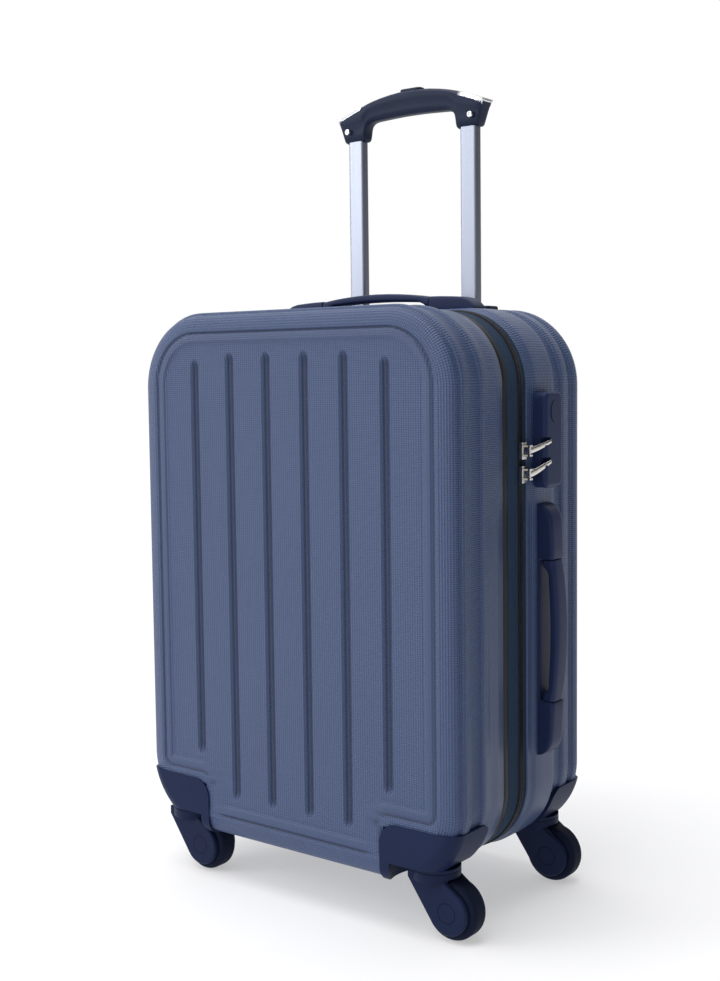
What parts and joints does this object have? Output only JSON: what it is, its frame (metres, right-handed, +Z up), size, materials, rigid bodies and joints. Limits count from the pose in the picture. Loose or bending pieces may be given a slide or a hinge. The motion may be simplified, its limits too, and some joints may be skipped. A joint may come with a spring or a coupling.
{
  "type": "hard shell suitcase on wheels",
  "caption": "Navy hard shell cabin suitcase with ribbed halves, telescopic trolley handle, swivelling casters, side lock and sprung carry handles.",
  "frame": {"origin": "on the floor, below the middle of the case, in the plane where the two halves part", "axes": "+X towards the lock and side handle, -Y out of the ribbed front face, +Z up along the trolley handle"},
  "size_m": [0.396, 0.2224, 0.7716],
  "materials": {
    "shell": "satin, fine woven texture",
    "housing": "smooth satin",
    "dark_trim": "satin",
    "tyre": "matt",
    "steel": "plain",
    "silver_trim": "satin plated",
    "aluminium": "satin anodised",
    "nickel": "polished",
    "zip_tape": "woven tape",
    "zip_teeth": "coil",
    "piping": "matt",
    "lining": "woven polyester",
    "strap": "webbing"
  },
  "bodies": {
    "rear_case": {"rear_shell": "shell", "rear_zip_tape": "zip_tape", "rear_zip_teeth": "zip_teeth", "rear_lining": "lining", "housing_rear_left": "housing", "housing_rear_right": "housing", "swivel_pins_rear": "steel", "side_feet_rear": "dark_trim", "trolley_bezel": "dark_trim", "trolley_outer_tubes": "aluminium", "trolley_foot": "dark_trim", "trolley_foot_screws": "steel", "lock_body": "housing", "zip_sliders": "nickel", "side_handle_seat": "housing", "top_handle_seat": "housing", "hinge_strip": "zip_tape", "packing_straps": "strap", "strap_buckle": "dark_trim"},
    "lid": {"front_shell": "shell", "front_piping": "piping", "front_zip_tape": "zip_tape", "front_zip_teeth": "zip_teeth", "front_lining": "lining", "lining_pocket": "lining", "housing_front_left": "housing", "housing_front_right": "housing", "swivel_pins_front": "steel", "side_feet_front": "dark_trim"},
    "trolley_middle": {"trolley_middle_tubes": "aluminium", "middle_tube_caps": "dark_trim"},
    "trolley_grip": {"trolley_inner_tubes": "aluminium", "grip_body": "dark_trim", "grip_trims": "silver_trim", "grip_rivets": "steel"},
    "release_button": {"grip_button": "dark_trim", "release_frame": "steel"},
    "lock_release": {"lock_button": "housing"},
    "pull_upper": {"zip_pull_upper": "nickel"},
    "pull_lower": {"zip_pull_lower": "nickel"},
    "side_handle": {"side_handle_grip": "housing"},
    "top_handle": {"top_handle_grip": "housing"},
    "caster_front_left": {"fork_front_left": "housing", "axle_front_left": "steel"},
    "wheel_front_left": {"wheel_core_front_left": "housing", "tyre_front_left": "tyre"},
    "caster_front_right": {"fork_front_right": "housing", "axle_front_right": "steel"},
    "wheel_front_right": {"wheel_core_front_right": "housing", "tyre_front_right": "tyre"},
    "caster_rear_left": {"fork_rear_left": "housing", "axle_rear_left": "steel"},
    "wheel_rear_left": {"wheel_core_rear_left": "housing", "tyre_rear_left": "tyre"},
    "caster_rear_right": {"fork_rear_right": "housing", "axle_rear_right": "steel"},
    "wheel_rear_right": {"wheel_core_rear_right": "housing", "tyre_rear_right": "tyre"}
  },
  "joints": [
    {"name": "lid_hinge", "type": "hinge", "parent": "rear_case", "child": "lid", "pos_m": [-0.1935, 0, 0.295], "axis": [0, 0, -1], "range_deg": [0, 180]},
    {"name": "trolley_stage_one", "type": "slide", "parent": "rear_case", "child": "trolley_middle", "axis": [0, 0, 1], "range_m": [0, 0.2]},
    {"name": "trolley_stage_two", "type": "slide", "parent": "trolley_middle", "child": "trolley_grip", "axis": [0, 0, 1], "range_m": [-0.17, 0.025]},
    {"name": "grip_release", "type": "slide", "parent": "trolley_grip", "child": "release_button", "axis": [0, 0, -1], "range_m": [0, 0.003], "stiffness_N_per_m": 600, "springref_m": -0.006},
    {"name": "lock_release_slide", "type": "slide", "parent": "rear_case", "child": "lock_release", "axis": [-1, 0, 0], "range_m": [0, 0.0015], "stiffness_N_per_m": 500, "springref_m": -0.001},
    {"name": "pull_upper_hinge", "type": "hinge", "parent": "rear_case", "child": "pull_upper", "pos_m": [0.189, 0.003, 0.418], "axis": [0, 0, -1], "range_deg": [0, 110]},
    {"name": "pull_lower_hinge", "type": "hinge", "parent": "rear_case", "child": "pull_lower", "pos_m": [0.189, 0.003, 0.397], "axis": [0, 0, -1], "range_deg": [0, 110]},
    {"name": "side_handle_lift", "type": "slide", "parent": "rear_case", "child": "side_handle", "axis": [1, 0, 0], "range_m": [0, 0.003], "stiffness_N_per_m": 300, "springref_m": -0.002},
    {"name": "top_handle_lift", "type": "slide", "parent": "rear_case", "child": "top_handle", "axis": [0, 0, 1], "range_m": [0, 0.003], "stiffness_N_per_m": 300, "springref_m": -0.002},
    {"name": "swivel_front_left", "type": "hinge", "parent": "lid", "child": "caster_front_left", "pos_m": [-0.1464, -0.0853, 0.055], "axis": [0, 0, 1], "continuous": true},
    {"name": "axle_spin_front_left", "type": "hinge", "parent": "caster_front_left", "child": "wheel_front_left", "pos_m": [-0.1264, -0.0853, 0.026], "axis": [0, 1, 0], "continuous": true},
    {"name": "swivel_front_right", "type": "hinge", "parent": "lid", "child": "caster_front_right", "pos_m": [0.1464, -0.0853, 0.055], "axis": [0, 0, 1], "continuous": true},
    {"name": "axle_spin_front_right", "type": "hinge", "parent": "caster_front_right", "child": "wheel_front_right", "pos_m": [0.1664, -0.0853, 0.026], "axis": [0, 1, 0], "continuous": true},
    {"name": "swivel_rear_left", "type": "hinge", "parent": "rear_case", "child": "caster_rear_left", "pos_m": [-0.1464, 0.0853, 0.055], "axis": [0, 0, 1], "continuous": true},
    {"name": "axle_spin_rear_left", "type": "hinge", "parent": "caster_rear_left", "child": "wheel_rear_left", "pos_m": [-0.1264, 0.0853, 0.026], "axis": [0, 1, 0], "continuous": true},
    {"name": "swivel_rear_right", "type": "hinge", "parent": "rear_case", "child": "caster_rear_right", "pos_m": [0.1464, 0.0853, 0.055], "axis": [0, 0, 1], "continuous": true},
    {"name": "axle_spin_rear_right", "type": "hinge", "parent": "caster_rear_right", "child": "wheel_rear_right", "pos_m": [0.1664, 0.0853, 0.026], "axis": [0, 1, 0], "continuous": true}
  ]
}
